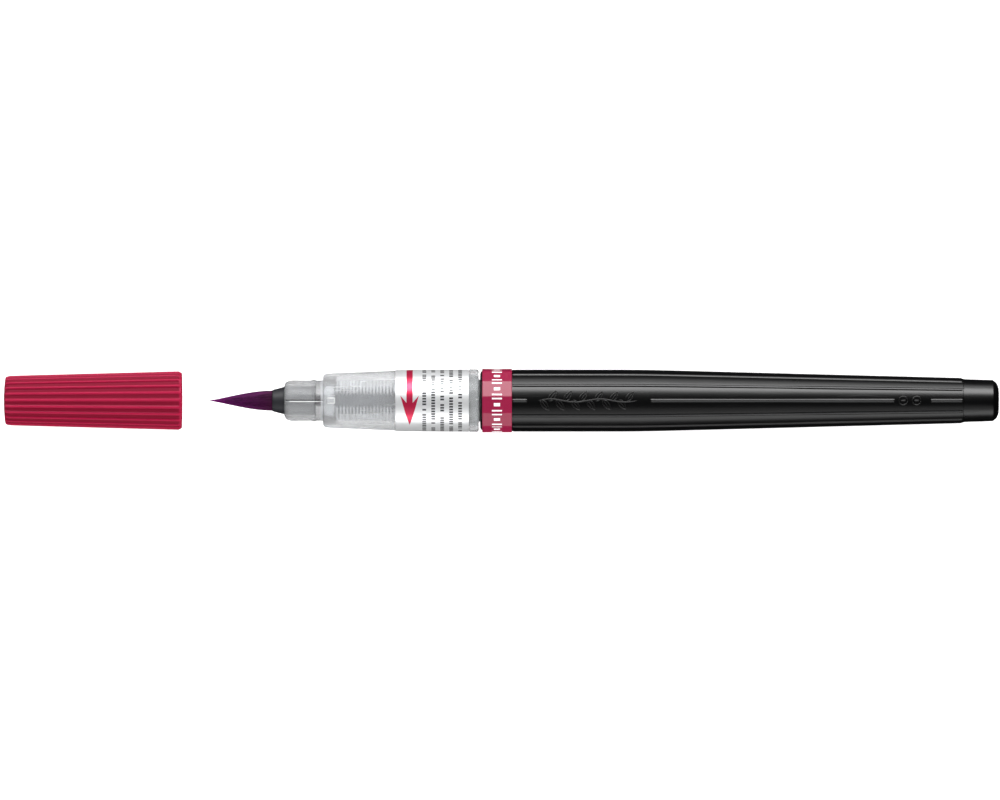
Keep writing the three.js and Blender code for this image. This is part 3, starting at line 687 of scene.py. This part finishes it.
def make_brush():
    share = np.linspace(0, 1, 60) ** 1.3
    stations = TIP + share * (HOLDER_FRONT - TIP)
    skin = np.stack([stations, tuft_radius(stations) * 0.96], -1)
    skin[0, 1] = 0
    root_front, root_rear, root_bore = HOLDER_FRONT + 0.7, HOLDER_FRONT + 6.3, 0.6
    root = np.array([[root_rear, 1.9], [root_rear, root_bore], [root_front, root_bore], [root_front, 0]])
    groove = lambda a: 0.035 * np.abs(np.sin(43 * a + 3 * np.sin(5 * a)))
    grooves = lambda s, r, a: r * (1 - groove(a) * (s < HOLDER_FRONT))
    core = turned(np.vstack([skin, root]), 260, grooves)
    piece("bristle_tuft", [core, hair_bundle(620)], BRISTLES, "grip")
    front, rear = span("tuft_base")
    disc = softened([
        (front, root_bore, 0), (front, HOLDER_SHANK, 0.1), (rear, HOLDER_SHANK, 0.1), (rear, root_bore, 0),
    ])
    piece("tuft_base", [turned(disc, 64)], BRISTLES, "grip")
    front, rear = span("ink_guide_tube")
    tube = turned(np.array([(front, 0.25), (front, 0.5), (rear, 0.5), (rear, 0.25)]), 48, mask=untinted)
    piece("ink_guide_tube", [tube], COLLAR_CLEAR, "grip", attribute="tint")
    front, rear = span("tip_holder")
    cone = softened([
        (front, HOLDER_BORE, 0), (front, 2.1, 0.04), (front + 0.15, 2.19, 0.08),
        (COLLAR_FRONT - 0.25, 2.7, 0.1), (COLLAR_FRONT - 0.02, 2.8, 0.05), (COLLAR_FRONT, 2.7, 0.02),
        (COLLAR_FRONT, HOLDER_SHANK, 0.05), (rear, HOLDER_SHANK, 0.05), (rear, HOLDER_BORE, 0),
    ])
    piece("tip_holder", [turned(refined(cone, 0.6), 128)], HOLDER_GREY, "grip")
    front, rear = span("tip_sleeve")
    bore, outer = HOLDER_SHANK + 0.1, 2.85
    sleeve = softened([
        (front, bore, 0), (front, outer, 0.1), (rear - 0.6, outer, 0.2), (rear, 2.61, 0.1), (rear, bore, 0),
    ])
    piece("tip_sleeve", [turned(refined(sleeve, 0.8), 128)], SLEEVE_GREY, "grip")


# -------- collar and feed
def from_top(angle):
    """The same angle from the pen's top, between minus and plus half a turn."""
    return (angle + np.pi) % TURN - np.pi


def collar_painted_light(station, radius, angle):
    """Tint of the collar with painted light and shade: painted shade in the web, painted light in the
    tail, and a painted shade line and a painted highlight line along the parting."""
    line = lambda place, edge: np.clip(edge - np.abs(from_top(angle) * radius - place) / 0.1, 0, 1)
    # a painted shade line on one side of the parting slit and a painted highlight line on the other
    parting_shade_and_highlight = 1 - 0.8 * line(0.08, 1.6) + 0.5 * line(-0.18, 1.5)
    # painted shade darkens the web; painted light makes the tail, from station 0.1 back, paler
    web = (station > -1.75) & (station < -0.5)
    body = np.where(web, np.where(radius < 3.25, 0.5, 0.62), 0.8)
    return np.where(station > 0.1, 1.18, body * np.where(radius > 3.5, parting_shade_and_highlight, 1))


def make_collar():
    front, rear = COLLAR_FRONT, COLLAR_REAR
    web, wick_bore, bead_radius = -1.6, 1.0, 4.18
    outline = softened([
        (front, COLLAR_BORE, 0), (front, 3.05, 0.06), (front + 0.32, 3.72, 0.3),
        (front + 1.2, COLLAR_RADIUS, 0.5), (-2.35, COLLAR_SKIN, 0.1), (-2.0, bead_radius, 0.12),
        (-1.72, bead_radius, 0.12), (-1.4, COLLAR_SKIN, 0.1), (-0.35, COLLAR_SKIN, 0.1),
        (0.0, COLLAR_RADIUS, 0.1), (rear, COLLAR_RADIUS, 0.1), (rear, TAIL_BORE, 0.1),
        (0.0, TAIL_BORE, 0.2), (0.0, wick_bore, 0.1), (web, wick_bore, 0.1), (web, COLLAR_BORE, 0.3),
        (front + 0.2, COLLAR_BORE, 0.05),
    ])
    slit = lambda s, r, a: np.where(
        (s < -0.2) & (r > 3.2), r - 0.12 * np.clip(1 - np.abs(from_top(a)) * r / 0.2, 0, 1), r
    )
    collar = turned(refined(outline, 0.5), gathered(1, 0.85, 200), slit, collar_painted_light)
    key = pad(rear - 1.7, rear, 0.7 / COLLAR_RADIUS, 3.95, 4.3)
    # painted light: the key is as pale as the collar's tail
    key = key, np.full(len(key[0]), 1.18)
    piece("nose_collar", [collar, key], COLLAR_CLEAR, "grip", attribute="tint")
    # painted highlights: white beads stand for the light caught round the key's top and along one edge of the
    # parting slit
    key_top, rim_front, rim_rear = 4.28, rear - 1.65, rear - 0.1
    corners = np.array([(rim_front, 0.5), (rim_rear, 0.5), (rim_rear, -0.5), (rim_front, -0.5)])
    rim = np.vstack([a + (b - a) * np.linspace(0, 1, 12)[:, None] for a, b in zip(corners[:-1], corners[1:])])
    parting_highlight = np.stack([np.linspace(front + 0.9, -0.15, 40), np.full(40, -0.2 / COLLAR_SKIN)], -1)
    edges = [bead(rim / (1, key_top), 0.24, 0.06, key_top), bead(parting_highlight, 0.11, 0.03, COLLAR_SKIN)]
    piece("collar_painted_highlight_lines", edges, LINER_WHITE, "grip", replaced=("nose_collar",))


def make_feed():
    front, rear = span("feed_wick")
    rod = softened([(front, 0, 0), (front, 0.9, 0.15), (rear, 0.9, 0.15), (rear, 0, 0)])
    piece("feed_wick", [turned(refined(rod, 4.0), 48)], WICK, "grip")
    front, rear = span("ink_collector")
    fins_front, pitch, thick, fins, fins_end = 2.7, 0.67, 0.32, 18, 14.8
    bore, hub, body, fin_radius, foot = 1.0, 2.7, 3.3, 4.0, 3.8
    corners = [(front, bore, 0), (front, 3.2, 0.1), (2.4, 3.2, 0.1), (2.5, hub, 0.05)]
    for station in fins_front + pitch * np.arange(fins):
        corners += [
            (station, hub, 0.03), (station, fin_radius, 0.06), (station + thick, fin_radius, 0.06),
            (station + thick, hub, 0.03),
        ]
    corners += [
        (14.76, hub, 0.05), (14.86, body, 0.1), (rear - 1.0, body, 0.1), (rear - 1.0, foot, 0.1),
        (rear, foot, 0.1), (rear, bore, 0),
    ]
    # the air slot is a flat cut along the top, across which the fins are missing
    flat = lambda s, r, a: np.where(
        (s > 2.6) & (s < fins_end) & (r > 2.6) & (np.abs(r * np.sin(a)) < 1.55) & (np.cos(a) > 0),
        np.minimum(r, 2.55 / np.maximum(np.cos(a), 0.2)), r,
    )
    # painted shade: dark at the hub between the fins and along the air slot, a little darker on the fins
    fin_painted_shade_mask = lambda s, r, a: np.where(
        (s > 2.5) & (s < fins_end), 0.72 * np.clip((r - 2.8) / 0.9, 0, 1) * (np.abs(r * np.sin(a)) > 1.5), 1.0
    )
    collector = turned(softened(corners, 3), gathered(2, 0.4, 160), flat, fin_painted_shade_mask)
    piece("ink_collector", [collector], COLLECTOR_GREY, "grip", attribute="fin_painted_shade")


# -------- grip
def grip_radius(station):
    """Radius of the grip: an even cone from behind the shoulder to the label's seat, then the seat's own
    cone."""
    start, first = 0.9, 5.4
    cone = first + (SEAT_FRONT - first) * (station - start) / (LABEL_FRONT - start)
    seat = SEAT_FRONT + (SEAT_REAR - SEAT_FRONT) * (station - LABEL_FRONT) / (LABEL_REAR - LABEL_FRONT)
    return np.where(station < LABEL_FRONT, cone, seat)


def make_grip():
    step, mouth, chamber, rear_bore = LABEL_REAR + 0.1, 4.15, 4.1, 5.15
    outline = softened([
        (0, mouth, 0), (0, 4.8, 0.1), (0.18, 5.2, 0.25), (0.9, 5.4, 0.5), (LABEL_FRONT, SEAT_FRONT, 0.1),
        (step, float(grip_radius(step)), 0.02), (step, GRIP_RADIUS, 0.06),
        (GRIP_REAR - 0.3, GRIP_RADIUS, 0.15), (GRIP_REAR, 5.97, 0.12), (GRIP_REAR, rear_bore, 0.05),
        (GRIP_REAR - 6.8, rear_bore, 0.1), (GRIP_REAR - 7.4, chamber, 0.1), (2.5, chamber, 0),
        (2.5, mouth, 0),
    ])
    # painted light makes the grip paler over the collar's tail; it is greyer in the rear ring
    tint = lambda s, r, a: np.where(s < 2.45, 1.1, np.where(s > LABEL_REAR, 0.93, 1.0))
    sleeve = turned(refined(outline, 0.9), 160, mask=tint)
    piece("grip_sleeve", [sleeve], GRIP_FROSTED, "grip", attribute="tint")
    first, last = LABEL_FRONT + 0.005, LABEL_REAR
    sheet = softened([
        (first, SEAT_FRONT + LABEL_INSIDE, 0), (first, SEAT_FRONT + LABEL_OUTSIDE, 0.04),
        (last, SEAT_REAR + LABEL_OUTSIDE, 0.04), (last, SEAT_REAR + LABEL_INSIDE, 0),
    ])
    lap = lambda s, r, a: r + 0.03 * ((a > 2.9) & (a < 3.4) & (r > grip_radius(s) + 0.1))
    piece("grip_label", [turned(refined(sheet, 0.8), 220, lap)], LABEL_FOIL, "grip")


def make_joint():
    end, face = span("threaded_connector")[1], GRIP_REAR
    plug, spigot, groove, room, tube, bore = PLUG_RADIUS, SPIGOT_RADIUS, 4.0, 3.4, 1.5, 1.0
    outline = softened([
        (face - 6.7, 3.9, 0), (face - 6.7, plug, 0.1), (face - 0.1, plug, 0.08), (face - 0.1, spigot, 0.08),
        (face + 0.9, spigot, 0.03), (face + 0.9, groove, 0.05), (face + 1.9, groove, 0.05),
        (face + 1.9, spigot, 0.03), (face + 7.0, spigot, 0.25), (face + 7.0, room, 0.1), (face, room, 0.2),
        (face, tube, 0.15), (end - 0.6, tube, 0.1), (end, 1.2, 0.05), (end, bore, 0.05),
        (face - 2.0, bore, 0.05), (face - 2.0, 3.9, 0.1), (face - 2.1, 3.9, 0),
    ])
    ridge = thread_ridge(face + 2.6, 2.0, spigot, THREAD_REACH)
    surfaces = [turned(refined(outline, 1.0), 96), ridge]
    piece("threaded_connector", surfaces, CONNECTOR_FROSTED, "grip")
    middle, radius, section = face + 1.4, 4.42, 0.36
    t = np.linspace(0, TURN, 24, endpoint=False)
    ring = np.stack([middle + section * np.cos(t), radius + section * np.sin(t)], -1)
    piece("connector_seal_ring", [turned(ring, 96)], SEAL_BLACK, "grip")


# -------- barrel
def barrel_radius(station, base=BARREL_RADIUS):
    """Radius between the ribs: level, then an even cone, joined by a soft knee."""
    return base - BARREL_TAPER * KNEE_BLEND * np.log1p(np.exp((station - KNEE) / KNEE_BLEND))


def rib_crest(station, radius, angle):
    """Height share of the ribs: a rounded hill across each rib and a ramp at each of its ends. The top rib
    also stops at the breaks."""
    pitch = TURN / RIBS
    nearest = np.round(angle / pitch)
    across = (angle - nearest * pitch) * radius / RIB_HALF_WIDTH
    hill = np.sqrt(np.clip(1 - np.abs(across) ** 2.6, 0, 1))
    ramp = lambda a, b: np.clip((station - a) / RIB_RAMP, 0, 1) * np.clip((b - station) / RIB_RAMP, 0, 1)
    run = ramp(BAND_REAR + 0.05, RIB_END)
    top = np.abs(nearest % RIBS) < 0.5
    for first, last in RIB_BREAKS:
        run = np.where(top, run * (1 - ramp(first - RIB_RAMP, last + RIB_RAMP)), run)
    outside = radius > barrel_radius(station) - 0.3
    return hill * np.sqrt(run) * outside


def leaf_relief():
    """Raised sprig on the barrel's top: a swaying stem, and leaf outlines, each a pointed ellipse leaning
    away from the stem, with a vein down its middle. Near the tail, two rings with a bar."""
    flat = lambda station, arc, base: np.stack([station, arc / base], -1)
    t = np.linspace(0, 1, 80)
    stem = np.stack([42.9 + 19.9 * t, 0.05 * np.sin(t * TURN * 2)], -1)
    beads = [bead(stem, 0.34, 0.14, BARREL_RADIUS)]
    for k in range(12):
        foot, length, width, lean = 43.6 + 1.55 * k, 2.5 - 0.03 * k, 0.66, 0.9 if k % 2 else -0.9
        t = np.linspace(0, TURN, 44)
        u, v = length * (0.5 - 0.5 * np.cos(t)), width * np.sin(t) * (0.55 + 0.45 * np.cos(t / 2) ** 2)
        station = foot + u * np.cos(lean) - v * np.sin(lean)
        arc = u * np.sin(lean) + v * np.cos(lean)
        beads.append(bead(flat(station, arc, BARREL_RADIUS), 0.26, 0.13, BARREL_RADIUS))
        t = np.linspace(0.1, 0.8, 14) * length
        vein = flat(foot + t * np.cos(lean), t * np.sin(lean), BARREL_RADIUS)
        beads.append(bead(vein, 0.2, 0.1, BARREL_RADIUS))
    t = np.linspace(0, TURN, 40)
    for middle in (115.9, 118.6):
        base = float(barrel_radius(middle))
        ring = flat(middle + 0.85 * np.cos(t), 0.85 * np.sin(t), float(barrel_radius(117.5)))
        bar = flat(np.linspace(middle - 0.5, middle + 0.5, 12), np.zeros(12), base)
        beads += [bead(ring, 0.26, 0.13, base), bead(bar, 0.36, 0.13, base)]
    return beads


def make_barrel():
    edges = [BAND_REAR, BAND_REAR + 0.5, RIB_END - 0.4, RIB_END]
    for first, last in RIB_BREAKS:
        edges += [first - 0.4, first, last, last + 0.4]
    fine = np.concatenate([np.linspace(e - 0.2, e + 0.2, 5) for e in edges])
    start, end, mouth = BARREL_FRONT, BARREL_END, MOUTH_RADIUS
    rows = np.unique(np.concatenate([np.arange(start + 1.2, RIB_END, 1.7), fine, [RIB_END]]).round(3))
    skin = np.stack([rows, barrel_radius(rows)], -1)
    front = softened([
        (start, mouth, 0), (start, 5.25, 0.1), (start + 0.12, 5.75, 0.25), (start + 0.7, BARREL_RADIUS, 0.35),
        (start + 1.2, BARREL_RADIUS, 0),
    ])
    last_radius = float(barrel_radius(RIB_END))
    tail_radius = last_radius - 0.1
    rear = softened([
        (RIB_END, last_radius, 0), (RIB_END + 0.32, tail_radius + 0.02, 0.2),
        (RIB_END + 0.8, tail_radius - 0.01, 0.2), (end - 1.17, tail_radius - 0.17, 0.14),
        (end - 0.42, tail_radius - 0.76, 0.35), (end, 2.55, 0.3), (end, 0.2, 0.1), (end, 0, 0),
    ])
    outside = np.vstack([front[:-1], skin, rear[1:]])
    wall_end, seat, seat_rear = end - 2.0, 4.3, start + 9
    bore = lambda s: float(barrel_radius(s, BARREL_RADIUS - BARREL_WALL))
    inside = softened([
        (wall_end, 0, 0), (wall_end, bore(wall_end) - 1, 0.5), (wall_end - 1, bore(wall_end), 0.5),
        (KNEE + 4, bore(KNEE + 4), 1.0), (KNEE - 4, bore(KNEE - 4), 1.0), (43.2, 5.05, 0.3),
        (42.7, seat, 0.2), (seat_rear, seat, 0.05), (seat_rear, mouth, 0.1), (start, mouth, 0),
    ])
    # one closed outline: from the tail along the bore to the mouth, and back along the outside
    shell = turned(
        np.vstack([refined(inside, 3.0), outside[1:]]), gathered(RIBS, 0.7, RIBS * 30),
        lambda s, r, a: r + RIB_HEIGHT * rib_crest(s, r, a), rib_crest,
    )
    surfaces = [shell, thread_ridge(GRIP_REAR + 3.6, 2.0, mouth, -THREAD_REACH), *leaf_relief()]
    piece("barrel_shell", surfaces, BARREL_BLACK, "barrel", attribute="crest")


def band_shape(station, radius, angle):
    """Twelve flat sides outside, with the corners rounded off by a soft minimum against a circle just
    inside them."""
    half, sharp = np.pi / BAND_SIDES, 60
    from_middle = (angle - BAND_TURN) % (2 * half) - half
    flat = BAND_CORNER * np.cos(half) / np.cos(from_middle)
    side = -np.log(np.exp(-flat * sharp) + np.exp(-(BAND_CORNER - 0.01) * sharp)) / sharp + 0.004
    return np.where(radius > BARREL_RADIUS + 0.15, side - (BAND_CORNER - radius), radius)


def make_band():
    inner = BARREL_RADIUS + 0.03
    outline = softened([
        (BAND_FRONT, inner, 0), (BAND_FRONT, BAND_CORNER - 0.1, 0), (BAND_FRONT + 0.1, BAND_CORNER, 0.1),
        (BAND_REAR - 0.08, BAND_CORNER, 0.08), (BAND_REAR, BAND_CORNER - 0.08, 0), (BAND_REAR, inner, 0),
    ])
    angles = gathered(BAND_SIDES, 0.6, BAND_SIDES * 24) + BAND_TURN
    band = turned(refined(outline, 0.6), angles, band_shape)
    piece("colour_band", [band], BAND_BURGUNDY, "barrel")


def make_stopper():
    front, rear = span("mouth_stopper")
    bore, outer = 1.75, 4.2
    ring = softened([
        (front, bore, 0.05), (front, outer, 0.1), (rear, outer, 0.1), (rear, 2.15, 0.05),
        (rear - 0.5, bore, 0.05), (front, bore, 0),
    ])[:-1]
    piece("mouth_stopper", [turned(refined(ring, 1.0), 96)], LINER_WHITE, "barrel")
    low, high = (np.array(corner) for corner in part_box("seal_ball"))
    centre, radius, columns = (low + high) / 2, (high[0] - low[0]) / 2, 64
    t, u = np.linspace(0, np.pi, 33)[1:-1, None], np.arange(columns)[None, :] / columns * TURN
    points = centre + radius * np.stack([np.cos(t) + 0 * u, np.sin(t) * np.sin(u), np.sin(t) * np.cos(u)], -1)
    ball = poled(*grid(points), columns, centre + radius * np.array([[1, 0, 0], [-1, 0, 0]]))
    piece("seal_ball", [outwards(*ball)], LINER_WHITE, "loose_ball")


for make in (
    make_cap, make_brush, make_collar, make_feed, make_grip, make_joint, make_barrel, make_band, make_stopper
):
    make()


# -------- floor, light and camera
def camera_and_mirrored(tree):
    """Masks of the rays: one for what is seen directly, one for what a glossy surface mirrors."""
    rays = add(tree, "LightPath").outputs
    mirrored = calc(tree, "SUBTRACT", rays["Is Glossy Ray"], rays["Is Transmission Ray"], clamp=True)
    return rays["Is Camera Ray"], mirrored


def make_floor():
    """Pale floor. Seen directly it is nearly white; in a glossy reflection it is dim, as a table far from the
    light."""
    size, lift, reflection = 14.0, 0.55, 0.01
    mesh = bpy.data.meshes.new("floor")
    corners = [(-size, -size, 0), (size, -size, 0), (size, size, 0), (-size, size, 0)]
    mesh.from_pydata(corners, [], [range(4)])
    material, tree, shader = new_material(
        "floor_pale", Roughness=0.9, Base_Color=(0.86, 0.86, 0.86, 1), Specular_IOR_Level=0.0
    )
    glow = lambda strength: add(tree, "Emission", Color=(1, 1, 1, 1), Strength=strength).outputs[0]
    camera, mirrored = camera_and_mirrored(tree)
    matt = shader.outputs[0]
    lifted = add(tree, "AddShader", _0=matt, _1=glow(lift)).outputs[0]
    seen = add(tree, "MixShader", _0=camera, _1=matt, _2=lifted).outputs[0]
    mixed = add(tree, "MixShader", _0=mirrored, _1=seen, _2=glow(reflection)).outputs[0]
    wire(tree, tree.nodes["Material Output"], Surface=mixed)
    mesh.materials.append(material)
    floor = bpy.data.objects.new("floor", mesh)
    bpy.context.scene.collection.objects.link(floor)


def make_world():
    """Even soft surround: white where it is seen directly, softer on matt surfaces and dark in glossy
    reflections."""
    on_matt, in_gloss = 0.38, 0.003
    world = bpy.data.worlds.new("studio")
    world.use_nodes = True
    bpy.context.scene.world = world
    tree = world.node_tree
    camera, mirrored = camera_and_mirrored(tree)
    strength = calc(tree, "MAXIMUM", ranged(tree, mirrored, 0.0, 1.0, on_matt, in_gloss), camera)
    wire(tree, tree.nodes["Background"], Color=(1, 1, 1, 1), Strength=strength)


def strip_light(name, lean, wide, distance, radiance, long=1.3, mirrored=True, lit=True):
    """Strip softbox along the pen. lean is its angle from straight up, towards +Y, and wide its angular
    width, in degrees; distance and long are in metres; radiance is its brightness as a glossy surface mirrors
    it. It may be left out of reflections, or, when not lit, be only mirrored."""
    lean, wide = np.radians(lean), np.radians(wide)
    across = 2 * distance * np.tan(wide / 2)
    data = bpy.data.lights.new(name, "AREA")
    data.shape, data.size, data.size_y = "RECTANGLE", long, across
    data.energy = radiance * np.pi * long * across
    light = bpy.data.objects.new(name, data)
    light.location = (0, distance * np.sin(lean), AXIS_Z + distance * np.cos(lean))
    light.rotation_euler = (-lean, 0, 0)
    light.visible_glossy = mirrored
    light.visible_diffuse = light.visible_transmission = lit
    bpy.context.scene.collection.objects.link(light)


def make_camera():
    """Long lens straight above the pen, its picture 200 mm wide at the pen's axis."""
    data = bpy.data.cameras.new("camera")
    data.lens, data.sensor_width = 600.0, 36.0
    data.clip_end = 60
    camera = bpy.data.objects.new("camera", data)
    picture_width = 0.2
    distance = picture_width * data.lens / data.sensor_width
    camera.location = (-0.00026, 0.00012, AXIS_Z + distance)
    bpy.context.scene.collection.objects.link(camera)
    bpy.context.scene.camera = camera


make_floor()
make_world()
strip_light("key", 54, 30, 0.7, 6.3, lit=False)
strip_light("key_spill", 64, 60, 0.75, 1.8)
strip_light("high_fill", 60, 50, 0.8, 2.8, mirrored=False)
strip_light("fill", -70, 28, 0.7, 1.6)
strip_light("fill_spill", -60, 60, 0.75, 0.5)
strip_light("low_fill", -58, 50, 0.8, 1.9, mirrored=False)
make_camera()
bpy.context.scene.view_settings.view_transform = "Standard"
